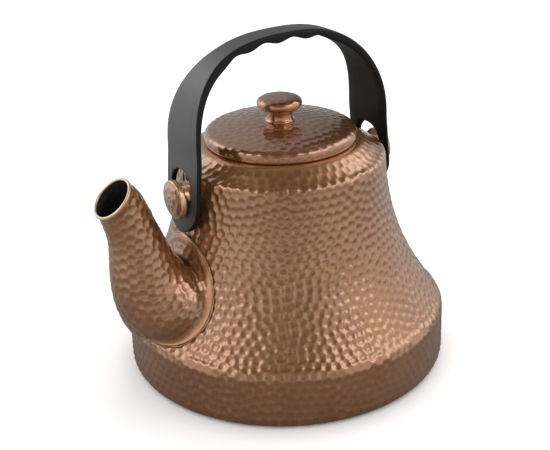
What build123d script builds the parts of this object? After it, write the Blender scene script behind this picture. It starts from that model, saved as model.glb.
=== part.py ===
"""Hammered copper kettle with a hook-on arched handle and a lift-off lid.

Frame: millimetres, origin at the centre of the base on the resting plane, +Z up,
spout towards -X, handle arch in the XZ plane. Each piece is one STEP file in parts/.
"""

from build123d import *
from math import cos, pi, sin
import os

# ---- driving dimensions ----
BASE_RADIUS = 95.0
BAND_TOP = 32.5
FOOT_ROUNDING = 6.0
SHEET = 1.4
BAND_CORNER_LEAD = 3.0
BELL_START_INSET = 3.6
BELL_START_RISE = 4.5
BELL_PULL_INSET = 22.3
BELL_PULL_RISE = 30.0
BELL_NECK_Z = 90.0
BELL_NECK_FLARE = 1.3
BELL_TOP_RADIUS = 60.6
BELL_TOP = 127.0
SHOULDER_ROUNDING = 3.0
SHOULDER_RISE = 1.8
SHOULDER_INSET = 4.0
SHOULDER_PULL_INSET = 7.0
SHOULDER_PULL_RISE = 3.4
LEDGE_PULL = 3.6
LEDGE_RADIUS = 45.0
LEDGE_Z = 135.6
MOUTH_RADIUS = 39.6

FLANGE_INNER_RADIUS = 83.0
PLATE_SHEET = 1.5
PLATE_GAP = 0.3
SOLDER_LEG = 2.2

COLLAR_BORE = 38.4
COLLAR_BOTTOM = 121.0
COLLAR_FLANGE_RADIUS = 43.0
SKIRT_CLEARANCE = 0.05
SKIRT_SHEET = 1.1
SKIRT_BOTTOM = 123.5

LID_RADIUS = 43.9
LID_BOTTOM = 135.8
LID_RIM_Z = 138.8
LID_FOOT_INSET = 1.4
LID_FOOT_ROUNDING = 1.2
LID_RIM_ROUNDING = 2.6
LID_SHOULDER_PULL = 1.6
LID_DOME_PULL = 15.0
LID_DOME_RISE = 2.9
LID_CROWN_PULL = 8.0
LID_DOME_EDGE_RADIUS = 40.6
LID_DOME_EDGE_Z = 142.7
LID_TOP = 146.6
LID_SHEET = 1.3

KNOB_FOOT_RADIUS = 8.6
KNOB_NECK_RADIUS = 7.4
KNOB_NECK_Z = 150.4
KNOB_HEAD_RADIUS = 13.05
KNOB_HEAD_Z = 157.4
KNOB_TOP = 161.5
KNOB_FOOT_HEIGHT = 0.9
KNOB_WAIST_PULL = 1.0
KNOB_UNDERSIDE_PULL = (3.2, 4.2)
KNOB_CROWN_PULL = (2.6, 4.0)
SCREW_RADIUS = 2.0
SCREW_HEAD_RADIUS = 4.0
SCREW_HEAD_HEIGHT = 2.4
SCREW_TIP_Z = 156.0
SCREW_HEAD_ROUNDING = 1.0
SCREW_SLOT_WIDTH = 0.9
SCREW_SLOT_DEPTH = 1.0
KNOB_WASHER_RADIUS = 6.5
KNOB_WASHER_SHEET = 1.0

STUD_Z = 115.5
STUD_HEAD_RADIUS = 10.9
STUD_HEAD_BACK = 68.3
STUD_HEAD_RIM = 3.9
STUD_HEAD_FRONT = 73.8
STUD_BACK_CONE = 0.2
STUD_BACK_EASE = 0.5
STUD_RIM_TAPER = 0.2
STUD_FACE_PULL = (0.6, 5.0)
STUD_NECK_RADIUS = 6.0
STUD_SHANK_RADIUS = 2.5
STUD_SHANK_INNER = 52.6
BOSS_FRONT = 62.9
BOSS_RADIUS = 8.6
STUD_WASHER_RADIUS = 7.0
STUD_WASHER_INNER = 57.9
STUD_NUT_RADIUS = 5.6
STUD_NUT_HEIGHT = 4.0

HANDLE_SPRING_Z = 140.0
HANDLE_TOP = 199.0
HANDLE_HALF_SPAN = 64.9
HANDLE_CURVE = 2.48
HANDLE_LEG_SPLAY = 0.085
HANDLE_LEG_THICKNESS = 3.5
HANDLE_BOTTOM = 96.0
LEG_HALF_WIDTH = 17.8
GRIP_HALF_WIDTH = 8.25
TAPER_BOTTOM = 140.0
TAPER_TOP = 194.0
TAPER_BOTTOM_PULL = 25.0
TAPER_TOP_PULL = 16.0
TAPER_TOP_FLARE = 3.5
GRIP_THICKNESS = 4.5
HOLLOW_DEPTH = 1.0
HOLLOW_PITCH = 19.4
HOLLOW_COUNT = 4
HOLLOW_CENTRE_X = -4.2
ARCH_STEPS = 48
HOOK_HOLE_RADIUS = 11.1
HOOK_HOLE_Z = 121.2
NECK_SEAT_CLEARANCE = 0.05

SPOUT_WALL = 1.3
POUR_HOLE_RADIUS = 18.0
POUR_HOLE_Z = 61.0
MOUTH_CENTRE = (-107.8, 125.7)
MOUTH_TILT = 47.2
LIP_LENGTH = 2.0
LIP_PROUD = 0.5
ROOT_FILLET = 2.5
SEAM_INNER_GROW = 4.0
SEAM_OUTER_GROW = 6.4
SOLDER_FILM = 0.02
SEAM_HEIGHT = 0.7

# Spout sections from root to past the mouth: the point nearest the body and the point
# farthest from it, each (x, z) in the plane y = 0, and the half width across y.
SPOUT_SECTIONS = [
    ((-55.0, 69.0), (-82.0, 31.5), 29.5),
    ((-61.5, 73.5), (-93.5, 36.5), 29.0),
    ((-67.0, 77.5), (-104.0, 43.5), 26.6),
    ((-70.4, 79.8), (-109.8, 57.0), 23.3),
    ((-73.6, 84.0), (-111.9, 73.5), 19.8),
    ((-82.4, 104.0), (-111.6, 98.5), 14.9),
    ((-91.0, 125.0), (-115.0, 113.0), 12.6),
    ((-98.4, 134.4), (-117.2, 117.0), 12.9),
    ((-103.5, 139.0), (-121.5, 121.5), 13.2),
]

os.makedirs("parts", exist_ok=True)


def save(name, part):
    """Label a finished piece and write it as its own STEP file."""
    part.label = name
    export_step(part, "parts/" + name + ".step")


# ---- body ----
def body_section(inset=0.0):
    """Return half of the filled body's section, radius along X and height along Y.

    inset moves the outline inwards, for the inside of the sheet, or outwards if negative.
    """
    base_radius = BASE_RADIUS - inset
    top_radius = BELL_TOP_RADIUS - inset
    ledge = LEDGE_Z - inset
    shoulder = BELL_TOP - inset
    corner = BAND_TOP - inset / 2
    foot_side = (base_radius, FOOT_ROUNDING)
    foot_flat = (BASE_RADIUS - FOOT_ROUNDING, inset)
    band_end = (base_radius, corner - BAND_CORNER_LEAD)
    bell_start = (base_radius - BELL_START_INSET, corner + BELL_START_RISE)
    bell_end = (top_radius, shoulder - SHOULDER_ROUNDING)
    shoulder_start = (BELL_TOP_RADIUS - SHOULDER_INSET, shoulder + SHOULDER_RISE)
    ledge_start = (LEDGE_RADIUS, ledge)
    with BuildSketch() as section:
        with BuildLine():
            Line((0, inset), foot_flat)
            RadiusArc(foot_flat, foot_side, inset - FOOT_ROUNDING)
            Line(foot_side, band_end)
            Bezier(band_end, (base_radius, corner + BAND_CORNER_LEAD / 2), bell_start)
            Bezier(
                bell_start,
                (base_radius - BELL_PULL_INSET, corner + BELL_PULL_RISE),
                (top_radius + BELL_NECK_FLARE, BELL_NECK_Z),
                bell_end,
            )
            Bezier(bell_end, (top_radius, shoulder + 0.4 * SHOULDER_ROUNDING), shoulder_start)
            Bezier(
                shoulder_start,
                (BELL_TOP_RADIUS - SHOULDER_PULL_INSET, shoulder + SHOULDER_PULL_RISE),
                (LEDGE_RADIUS + LEDGE_PULL, ledge),
                ledge_start,
            )
            Line(ledge_start, (0, ledge))
            Line((0, ledge), (0, inset))
        make_face()
    return section.sketch


def body_form(inset=0.0):
    """Return the solid bounded by the body's outer surface, moved inwards by inset."""
    with BuildPart() as form:
        with BuildSketch(Plane.XZ):
            add(body_section(inset))
        revolve(axis=Axis.Z)
    return form.part


body_outside = body_form()

with BuildPart() as body_shell:
    add(body_outside)
    add(body_form(SHEET), mode=Mode.SUBTRACT)
    with Locations((0, 0, LEDGE_Z)):
        Cylinder(MOUTH_RADIUS, 4 * SHEET, mode=Mode.SUBTRACT)
    Cylinder(FLANGE_INNER_RADIUS, 4 * SHEET, mode=Mode.SUBTRACT)
    with Locations((-BASE_RADIUS / 2, 0, POUR_HOLE_Z)):
        Cylinder(POUR_HOLE_RADIUS, BASE_RADIUS, rotation=(0, 90, 0), mode=Mode.SUBTRACT)
    with Locations((0, 0, STUD_Z)):
        Cylinder(STUD_SHANK_RADIUS, 2 * BASE_RADIUS, rotation=(0, 90, 0), mode=Mode.SUBTRACT)
save("body_shell", body_shell.part)

wall_inner_radius = BASE_RADIUS - SHEET

with BuildPart() as base_plate:
    with BuildSketch(Plane.XZ):
        with BuildLine():
            step = FLANGE_INNER_RADIUS - PLATE_GAP
            Polyline(
                (0, 0),
                (step, 0),
                (step, SHEET),
                (wall_inner_radius - FOOT_ROUNDING, SHEET),
                (wall_inner_radius - FOOT_ROUNDING, SHEET + PLATE_SHEET),
                (step - PLATE_SHEET, SHEET + PLATE_SHEET),
                (step - PLATE_SHEET, PLATE_SHEET),
                (0, PLATE_SHEET),
                close=True,
            )
        make_face()
    revolve(axis=Axis.Z)
save("base_plate", base_plate.part)

with BuildPart() as base_solder_bead:
    plate_edge = wall_inner_radius - FOOT_ROUNDING
    with BuildSketch(Plane.XZ):
        with BuildLine():
            Polyline(
                (plate_edge, SHEET),
                (plate_edge + SOLDER_LEG, SHEET),
                (plate_edge + SOLDER_LEG, SHEET + PLATE_SHEET),
                (plate_edge, SHEET + PLATE_SHEET),
                close=True,
            )
        make_face()
    revolve(axis=Axis.Z)
    add(body_shell.part, mode=Mode.SUBTRACT)
save("base_solder_bead", base_solder_bead.part)

with BuildPart() as neck_collar:
    flange_top = LEDGE_Z - SHEET
    with BuildSketch(Plane.XZ):
        with BuildLine():
            Polyline(
                (COLLAR_BORE, COLLAR_BOTTOM),
                (MOUTH_RADIUS, COLLAR_BOTTOM),
                (MOUTH_RADIUS, flange_top - SHEET),
                (COLLAR_FLANGE_RADIUS, flange_top - SHEET),
                (COLLAR_FLANGE_RADIUS, flange_top),
                (MOUTH_RADIUS, flange_top),
                (MOUTH_RADIUS, LEDGE_Z),
                (COLLAR_BORE, LEDGE_Z),
                close=True,
            )
        make_face()
    revolve(axis=Axis.Z)
save("neck_collar", neck_collar.part)


# ---- spout ----
def section_plane(near, far):
    """Return the plane through two points of y = 0, with its x along the row's Y."""
    centre = Vector((near[0] + far[0]) / 2, 0, (near[1] + far[1]) / 2)
    across = Vector(near[0] - far[0], 0, near[1] - far[1]).normalized()
    return Plane(origin=centre, x_dir=(0, 1, 0), z_dir=Vector(0, 1, 0).cross(across))


def spout_form(grow=0.0):
    """Return the filled spout, with every section grown by an amount.

    Each section is an ellipse of four arcs, so that the spout's side is four smooth faces.
    """
    with BuildPart() as form:
        for near, far, half_width in SPOUT_SECTIONS:
            half_length = Vector(near[0] - far[0], 0, near[1] - far[1]).length / 2
            with BuildSketch(section_plane(near, far)):
                with BuildLine():
                    x_radius = half_width + grow
                    y_radius = half_length + grow
                    for start in (0, 90, 180, 270):
                        EllipticalCenterArc((0, 0), x_radius, y_radius, start, arc_size=90)
                make_face()
        loft()
    return form.part


def mouth_plane(back=0.0):
    """Return the plane of the spout's mouth, moved back along the spout."""
    tilt = MOUTH_TILT * pi / 180
    normal = Vector(-cos(tilt), 0, sin(tilt))
    corner = Vector(MOUTH_CENTRE[0], 0, MOUTH_CENTRE[1]) - normal * back
    return Plane(origin=corner, x_dir=(0, 1, 0), z_dir=normal)


spout_filled = spout_form()
spout_bore = spout_form(-SPOUT_WALL)

with BuildPart() as spout:
    add(body_outside)
    add(spout_filled)
    root_edges = new_edges(body_outside, spout_filled, combined=spout.part)
    fillet(root_edges.filter_by(lambda edge: edge.center().Z < BELL_TOP), radius=ROOT_FILLET)
    add(spout_bore, mode=Mode.SUBTRACT)
    add(body_outside, mode=Mode.SUBTRACT)
    split(bisect_by=mouth_plane(LIP_LENGTH), keep=Keep.BOTTOM)
save("spout", spout.part)

with BuildPart() as spout_lip_bead:
    add(spout_form(LIP_PROUD))
    add(spout_bore, mode=Mode.SUBTRACT)
    split(bisect_by=mouth_plane(), keep=Keep.BOTTOM)
    split(bisect_by=mouth_plane(LIP_LENGTH), keep=Keep.TOP)
save("spout_lip_bead", spout_lip_bead.part)

with BuildPart() as spout_solder_seam:
    with BuildSketch(Plane.XZ):
        add(body_section(-SEAM_HEIGHT))
        add(body_section(-SOLDER_FILM), mode=Mode.SUBTRACT)
    revolve(axis=Axis.Z)
    add(spout_form(SEAM_OUTER_GROW), mode=Mode.INTERSECT)
    add(spout_form(SEAM_INNER_GROW), mode=Mode.SUBTRACT)
    add(spout.part, mode=Mode.SUBTRACT)
save("spout_solder_seam", spout_solder_seam.part)


# ---- lid ----
def lid_section(inset=0.0):
    """Return half of the filled lid's section, radius along X and height along Y."""
    bottom = LID_BOTTOM + inset
    bulge = LID_RADIUS - inset
    rim_foot = (LID_RADIUS - LID_FOOT_INSET, bottom)
    rim_side = (bulge, LID_RIM_Z)
    edge_radius = LID_DOME_EDGE_RADIUS - inset / 3
    edge_z = LID_DOME_EDGE_Z - inset
    top = LID_TOP - inset
    knob_seat = (KNOB_FOOT_RADIUS, top)
    with BuildSketch() as section:
        with BuildLine():
            Line((0, bottom), rim_foot)
            Bezier(rim_foot, (bulge - 0.2, bottom), (bulge, bottom + LID_FOOT_ROUNDING), rim_side)
            Bezier(
                rim_side,
                (bulge, LID_RIM_Z + LID_RIM_ROUNDING - inset / 2),
                (edge_radius + LID_SHOULDER_PULL, edge_z - 0.3),
                (edge_radius, edge_z),
            )
            Bezier(
                (edge_radius, edge_z),
                (LID_DOME_EDGE_RADIUS - LID_DOME_PULL, edge_z + LID_DOME_RISE),
                (KNOB_FOOT_RADIUS + LID_CROWN_PULL, top),
                knob_seat,
            )
            Line(knob_seat, (0, top))
            Line((0, top), (0, bottom))
        make_face()
    return section.sketch


lid_opening_radius = LID_RADIUS - LID_FOOT_INSET - LID_SHEET
with BuildPart() as lid_cap:
    with BuildSketch(Plane.XZ):
        add(lid_section())
        add(lid_section(LID_SHEET), mode=Mode.SUBTRACT)
        Rectangle(2 * lid_opening_radius, 2 * (LID_BOTTOM + 2 * LID_SHEET), mode=Mode.SUBTRACT)
        Rectangle(2 * SCREW_RADIUS, 2 * KNOB_TOP, mode=Mode.SUBTRACT)
    revolve(axis=Axis.Z)
save("lid_cap", lid_cap.part)

skirt_radius = COLLAR_BORE - SKIRT_CLEARANCE
with BuildPart() as lid_skirt:
    with BuildSketch(Plane.XZ):
        add(lid_section(LID_SHEET))
        with Locations((0, (SKIRT_BOTTOM + LID_BOTTOM + LID_SHEET) / 2)):
            Rectangle(2 * skirt_radius, LID_BOTTOM + LID_SHEET - SKIRT_BOTTOM)
        with Locations((skirt_radius - SKIRT_SHEET / 2, LID_BOTTOM)):
            Rectangle(SKIRT_SHEET, 2 * (LID_BOTTOM - SKIRT_BOTTOM), mode=Mode.INTERSECT)
    revolve(axis=Axis.Z)
save("lid_skirt", lid_skirt.part)

with BuildPart() as lid_knob:
    with BuildSketch(Plane.XZ):
        with BuildLine():
            foot_top = LID_TOP + KNOB_FOOT_HEIGHT
            Line((0, LID_TOP), (KNOB_FOOT_RADIUS, LID_TOP))
            Line((KNOB_FOOT_RADIUS, LID_TOP), (KNOB_FOOT_RADIUS, foot_top))
            Bezier(
                (KNOB_FOOT_RADIUS, foot_top),
                (KNOB_NECK_RADIUS, foot_top + KNOB_FOOT_HEIGHT),
                (KNOB_NECK_RADIUS, KNOB_NECK_Z - KNOB_WAIST_PULL),
                (KNOB_NECK_RADIUS, KNOB_NECK_Z),
            )
            Bezier(
                (KNOB_NECK_RADIUS, KNOB_NECK_Z),
                (KNOB_NECK_RADIUS, KNOB_NECK_Z + KNOB_UNDERSIDE_PULL[0]),
                (KNOB_HEAD_RADIUS, KNOB_HEAD_Z - KNOB_UNDERSIDE_PULL[1]),
                (KNOB_HEAD_RADIUS, KNOB_HEAD_Z),
            )
            Bezier(
                (KNOB_HEAD_RADIUS, KNOB_HEAD_Z),
                (KNOB_HEAD_RADIUS, KNOB_HEAD_Z + KNOB_CROWN_PULL[0]),
                (KNOB_HEAD_RADIUS - KNOB_CROWN_PULL[1], KNOB_TOP),
                (0, KNOB_TOP),
            )
            Line((0, KNOB_TOP), (0, LID_TOP))
        make_face()
    revolve(axis=Axis.Z)
    with BuildSketch(Plane.XY.offset(LID_TOP)):
        Circle(SCREW_RADIUS)
    extrude(amount=SCREW_TIP_Z - LID_TOP, mode=Mode.SUBTRACT)
save("lid_knob", lid_knob.part)

washer_top = LID_TOP - LID_SHEET
washer_bottom = washer_top - KNOB_WASHER_SHEET
with BuildPart() as knob_washer:
    with BuildSketch(Plane.XY.offset(washer_bottom)):
        Circle(KNOB_WASHER_RADIUS)
        Circle(SCREW_RADIUS, mode=Mode.SUBTRACT)
    extrude(amount=KNOB_WASHER_SHEET)
save("knob_washer", knob_washer.part)

with BuildPart() as knob_screw:
    with BuildSketch(Plane.XY.offset(washer_bottom)):
        Circle(SCREW_RADIUS)
    extrude(amount=SCREW_TIP_Z - washer_bottom)
    with BuildSketch(Plane.XY.offset(washer_bottom - SCREW_HEAD_HEIGHT)):
        Circle(SCREW_HEAD_RADIUS)
    extrude(amount=SCREW_HEAD_HEIGHT)
    fillet(knob_screw.edges().group_by(Axis.Z)[0], radius=SCREW_HEAD_ROUNDING)
    with BuildSketch(Plane.XY.offset(washer_bottom - SCREW_HEAD_HEIGHT)):
        Rectangle(2 * SCREW_HEAD_RADIUS, SCREW_SLOT_WIDTH)
    extrude(amount=SCREW_SLOT_DEPTH, mode=Mode.SUBTRACT)
save("knob_screw", knob_screw.part)


# ---- handle studs, made at +X and mirrored to the spout's side ----
def save_pair(name, part):
    """Write a stud piece at +X as rear_NAME, and its mirror image as front_NAME."""
    save("rear_" + name, part)
    save("front_" + name, mirror(part, about=Plane.YZ))


stud_axis = Axis((0, 0, STUD_Z), (1, 0, 0))

with BuildPart() as stud:
    with BuildSketch(Plane.XZ):
        with BuildLine():
            rim_z = STUD_Z + STUD_HEAD_RADIUS
            neck_z = STUD_Z + STUD_NECK_RADIUS
            shank_z = STUD_Z + STUD_SHANK_RADIUS
            back_edge = (STUD_HEAD_BACK, rim_z - STUD_BACK_EASE)
            rim_back = (STUD_HEAD_BACK + 2 * STUD_BACK_EASE, rim_z)
            rim_front = (STUD_HEAD_BACK + STUD_HEAD_RIM, rim_z - STUD_RIM_TAPER)
            Polyline(
                (STUD_HEAD_FRONT, STUD_Z),
                (STUD_SHANK_INNER, STUD_Z),
                (STUD_SHANK_INNER, shank_z),
                (BOSS_FRONT, shank_z),
                (BOSS_FRONT, neck_z),
                (STUD_HEAD_BACK - STUD_BACK_CONE, neck_z),
                back_edge,
            )
            Bezier(back_edge, (STUD_HEAD_BACK + STUD_BACK_EASE, rim_z), rim_back)
            Line(rim_back, rim_front)
            Bezier(
                rim_front,
                (STUD_HEAD_FRONT - STUD_FACE_PULL[0], rim_z - 2 * STUD_RIM_TAPER),
                (STUD_HEAD_FRONT, rim_z - STUD_FACE_PULL[1]),
                (STUD_HEAD_FRONT, STUD_Z),
            )
        make_face()
    revolve(axis=stud_axis)
save_pair("stud", stud.part)

with BuildPart() as stud_boss:
    with BuildSketch(Plane.YZ.offset(STUD_WASHER_INNER)):
        with Locations((0, STUD_Z)):
            Circle(BOSS_RADIUS)
            Circle(STUD_SHANK_RADIUS, mode=Mode.SUBTRACT)
    extrude(amount=BOSS_FRONT - STUD_WASHER_INNER)
    add(body_outside, mode=Mode.SUBTRACT)
save_pair("stud_boss", stud_boss.part)

with BuildPart() as wall_band:
    with BuildSketch(Plane.XY.offset(STUD_Z - BOSS_RADIUS)):
        Circle(BASE_RADIUS)
    extrude(amount=2 * BOSS_RADIUS)
    add(body_outside, mode=Mode.SUBTRACT)

with BuildPart() as stud_washer:
    with Locations(((STUD_WASHER_INNER + BELL_TOP_RADIUS) / 2, 0, STUD_Z)):
        Cylinder(STUD_WASHER_RADIUS, BELL_TOP_RADIUS - STUD_WASHER_INNER, rotation=(0, 90, 0))
        Cylinder(STUD_SHANK_RADIUS, BASE_RADIUS, rotation=(0, 90, 0), mode=Mode.SUBTRACT)
    add(body_shell.part, mode=Mode.SUBTRACT)
    add(wall_band.part, mode=Mode.SUBTRACT)
save_pair("stud_washer", stud_washer.part)

with BuildPart() as stud_nut:
    with BuildSketch(Plane.YZ.offset(STUD_WASHER_INNER - STUD_NUT_HEIGHT)):
        with Locations((0, STUD_Z)):
            RegularPolygon(STUD_NUT_RADIUS, 6)
            Circle(STUD_SHANK_RADIUS, mode=Mode.SUBTRACT)
    extrude(amount=STUD_NUT_HEIGHT)
save_pair("stud_nut", stud_nut.part)


# ---- handle ----
def arch_point(angle, half_span, rise):
    """Return the point of a superellipse arch at an angle, 0 at +X and pi at -X."""
    across = abs(cos(angle)) ** (2 / HANDLE_CURVE)
    up = sin(angle) ** (2 / HANDLE_CURVE)
    return (half_span * across * (1 if cos(angle) >= 0 else -1), HANDLE_SPRING_Z + rise * up)


def grip_thickness(x):
    """Return the strap's thickness above a point of the grip, with finger hollows."""
    reach = (x - HOLLOW_CENTRE_X) / (HOLLOW_COUNT * HOLLOW_PITCH / 2)
    if abs(reach) >= 1:
        return GRIP_THICKNESS + HOLLOW_DEPTH
    return GRIP_THICKNESS + HOLLOW_DEPTH * cos(reach * HOLLOW_COUNT * pi)


def inner_arch_point(angle):
    """Return a point of the strap's inner face."""
    outer_x = arch_point(angle, HANDLE_HALF_SPAN, 0)[0]
    rise = HANDLE_TOP - HANDLE_SPRING_Z - grip_thickness(outer_x)
    return arch_point(angle, HANDLE_HALF_SPAN - HANDLE_LEG_THICKNESS, rise)


arch_angles = [pi * (step + 0.5) / ARCH_STEPS for step in range(ARCH_STEPS)]
leg_foot = HANDLE_HALF_SPAN + (HANDLE_SPRING_Z - HANDLE_BOTTOM) * HANDLE_LEG_SPLAY
inner_half_span = HANDLE_HALF_SPAN - HANDLE_LEG_THICKNESS
inner_foot = leg_foot - HANDLE_LEG_THICKNESS

with BuildPart() as handle:
    with BuildSketch(Plane.XZ):
        with BuildLine():
            rise = HANDLE_TOP - HANDLE_SPRING_Z
            outer = [arch_point(angle, HANDLE_HALF_SPAN, rise) for angle in arch_angles]
            inner = [inner_arch_point(angle) for angle in arch_angles]
            Spline((HANDLE_HALF_SPAN, HANDLE_SPRING_Z), *outer, (-HANDLE_HALF_SPAN, HANDLE_SPRING_Z))
            Spline((inner_half_span, HANDLE_SPRING_Z), *inner, (-inner_half_span, HANDLE_SPRING_Z))
            for side in (1, -1):
                Polyline(
                    (side * HANDLE_HALF_SPAN, HANDLE_SPRING_Z),
                    (side * leg_foot, HANDLE_BOTTOM),
                    (side * inner_foot, HANDLE_BOTTOM),
                    (side * inner_half_span, HANDLE_SPRING_Z),
                )
        make_face()
    extrude(amount=LEG_HALF_WIDTH + 1, both=True)
    with BuildSketch(Plane.YZ):
        with BuildLine():
            end_centre = HANDLE_BOTTOM + LEG_HALF_WIDTH
            RadiusArc((LEG_HALF_WIDTH, end_centre), (0, HANDLE_BOTTOM), LEG_HALF_WIDTH)
            RadiusArc((0, HANDLE_BOTTOM), (-LEG_HALF_WIDTH, end_centre), LEG_HALF_WIDTH)
            for side in (1, -1):
                Line((side * LEG_HALF_WIDTH, end_centre), (side * LEG_HALF_WIDTH, TAPER_BOTTOM))
                Bezier(
                    (side * LEG_HALF_WIDTH, TAPER_BOTTOM),
                    (side * LEG_HALF_WIDTH, TAPER_BOTTOM + TAPER_BOTTOM_PULL),
                    (side * (GRIP_HALF_WIDTH + TAPER_TOP_FLARE), TAPER_TOP - TAPER_TOP_PULL),
                    (side * GRIP_HALF_WIDTH, TAPER_TOP),
                )
                Line((side * GRIP_HALF_WIDTH, TAPER_TOP), (side * GRIP_HALF_WIDTH, HANDLE_TOP + 1))
            Line((GRIP_HALF_WIDTH, HANDLE_TOP + 1), (-GRIP_HALF_WIDTH, HANDLE_TOP + 1))
        make_face()
    extrude(amount=leg_foot + 1, both=True, mode=Mode.INTERSECT)
    with BuildSketch(Plane.YZ):
        with Locations((0, HOOK_HOLE_Z)):
            Circle(HOOK_HOLE_RADIUS)
        with Locations((0, STUD_Z)):
            Circle(STUD_NECK_RADIUS + NECK_SEAT_CLEARANCE)
    extrude(amount=leg_foot + 1, both=True, mode=Mode.SUBTRACT)
save("handle", handle.part)
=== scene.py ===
import math

import bpy
import numpy as np
from mathutils import Matrix, Vector, kdtree


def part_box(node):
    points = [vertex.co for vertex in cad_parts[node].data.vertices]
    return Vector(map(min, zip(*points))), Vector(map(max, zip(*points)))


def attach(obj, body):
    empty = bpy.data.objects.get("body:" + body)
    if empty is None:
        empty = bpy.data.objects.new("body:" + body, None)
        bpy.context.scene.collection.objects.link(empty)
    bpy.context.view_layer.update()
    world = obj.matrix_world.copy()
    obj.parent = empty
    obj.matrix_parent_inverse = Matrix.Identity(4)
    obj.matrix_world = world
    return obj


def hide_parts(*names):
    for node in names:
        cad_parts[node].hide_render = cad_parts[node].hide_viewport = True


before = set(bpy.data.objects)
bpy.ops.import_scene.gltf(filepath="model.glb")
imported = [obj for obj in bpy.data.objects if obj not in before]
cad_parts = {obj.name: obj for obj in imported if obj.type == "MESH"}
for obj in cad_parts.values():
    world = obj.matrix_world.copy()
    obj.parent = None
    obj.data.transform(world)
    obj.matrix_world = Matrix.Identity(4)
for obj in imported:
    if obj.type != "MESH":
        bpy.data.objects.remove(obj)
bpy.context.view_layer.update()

MM = 0.001
rng = np.random.default_rng(27)


# ---- sizes, in millimetres, read from the frame's boxes where a box gives them ----
def box_mm(node):
    """Return a node's lowest and highest corners in millimetres."""
    low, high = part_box(node)
    return np.array(low) / MM, np.array(high) / MM


_, body_high = box_mm("body_shell")
lid_low, lid_high = box_mm("lid_cap")
_, knob_high = box_mm("lid_knob")
stud_low, stud_high = box_mm("rear_stud")
handle_low, handle_high = box_mm("handle")

BASE_RADIUS = body_high[0]
LEDGE_Z = body_high[2]
BAND_TOP = 32.5
FOOT_ROUNDING = 6.0
SHEET = 1.4
BAND_CORNER_LEAD = 3.0
BELL_START_INSET = 3.6
BELL_START_RISE = 4.5
BELL_PULL_INSET = 22.3
BELL_PULL_RISE = 30.0
BELL_NECK_Z = 90.0
BELL_NECK_FLARE = 1.3
BELL_TOP_RADIUS = 60.6
BELL_TOP = 127.0
SHOULDER_ROUNDING = 3.0
SHOULDER_RISE = 1.8
SHOULDER_INSET = 4.0
SHOULDER_PULL_INSET = 7.0
SHOULDER_PULL_RISE = 3.4
LEDGE_PULL = 3.6
LEDGE_RADIUS = 45.0
MOUTH_RADIUS = 39.6
FLANGE_INNER_RADIUS = 83.0
POUR_HOLE_RADIUS = 18.0
POUR_HOLE_Z = 61.0
POUR_HOLE_REACH = (20, 100)
SHANK_HOLE_RADIUS = 2.5
SHANK_HOLE_REACH = (40, 80)

LID_RADIUS = lid_high[0]
LID_BOTTOM = lid_low[2]
LID_TOP = lid_high[2]
LID_RIM_Z = LID_BOTTOM + 3.0
LID_FOOT_INSET = 1.4
LID_FOOT_EASE = 0.2
LID_FOOT_ROUNDING = 1.2
LID_RIM_ROUNDING = 2.6
LID_SHOULDER_PULL = (1.6, 0.3)
LID_DOME_EDGE = (LID_RADIUS - 3.3, LID_TOP - 3.9)
LID_DOME_PULL = 15.0
LID_DOME_RISE = 2.9
LID_CROWN_PULL = 8.0
LID_SHEET = 1.3
SCREW_RADIUS = 2.0

KNOB_RADIUS = knob_high[0]
KNOB_TOP = knob_high[2]
KNOB_FOOT_RADIUS = 8.6
KNOB_FOOT_EASE = (0.3, 0.4)
KNOB_FOOT_HEIGHT = 1.1
KNOB_FOOT_STEP = 0.5
KNOB_FOOT_CREASE = 0.1
KNOB_NECK_RADIUS = 7.4
KNOB_NECK_Z = LID_TOP + 3.8
KNOB_WAIST_PULL = (0.4, 1.0)
KNOB_HEAD_Z = KNOB_TOP - 4.1
KNOB_UNDERSIDE_PULL = (3.2, 4.2)
KNOB_CROWN_PULL = (2.6, 4.0)
AXIS_GAP = 0.01

STUD_Z = (stud_low[2] + stud_high[2]) / 2
STUD_RADIUS = stud_high[1]
STUD_FRONT = stud_high[0]
STUD_SHANK_END = stud_low[0]
STUD_NECK_RADIUS = 6.0
STUD_NECK_START = 62.9
STUD_HEAD_THICKNESS = 5.5
STUD_HEAD_RIM = 3.9
STUD_BACK_CONE = (0.6, 0.2)
STUD_BACK_ROUNDING = 1.0
STUD_RIM_ROUNDING = 0.9
STUD_RIM_CREASE = 0.1
STUD_FACE_PULL = 4.0

HANDLE_TOP = handle_high[2]
HANDLE_BOTTOM = handle_low[2]
LEG_HALF_WIDTH = handle_high[1]
LEG_FOOT = handle_high[0]
HANDLE_SPRING_Z = 140.0
HANDLE_SPLAY = 0.085
HANDLE_HALF_SPAN = LEG_FOOT - HANDLE_SPLAY * (HANDLE_SPRING_Z - HANDLE_BOTTOM)
HANDLE_CURVE = 2.48
LEG_THICKNESS = 3.5
GRIP_HALF_WIDTH = 8.25
TAPER_BOTTOM_PULL = 25.0
TAPER_TOP = 194.0
TAPER_TOP_PULL = 16.0
TAPER_TOP_FLARE = 3.5
GRIP_THICKNESS = 4.5
HOLLOW_DEPTH = 1.0
HOLLOW_PITCH = 19.4
HOLLOW_COUNT = 4
HOLLOW_CENTRE_X = -4.2
STRAP_CROWN = 0.0038
STRAP_CHAMFER = 1.5
STRAP_INNER_ROUNDING = 0.9
HOOK_HOLE_RADIUS = 11.1
HOOK_HOLE_Z = 121.2
HOOK_HOLE_REACH = (50, 80)
NECK_SEAT_CLEARANCE = 0.05

DIMPLE_PITCH = 5.5
KNOB_DIMPLE_PITCH = 4.4
STUD_DIMPLE_PITCH = 4.6
BODY_DIMPLE_DEPTH = 0.78
SPOUT_DIMPLE_DEPTH = 0.6
LID_DIMPLE_DEPTH = 0.3
KNOB_DIMPLE_DEPTH = 0.16
STUD_DIMPLE_DEPTH = 0.3


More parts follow.
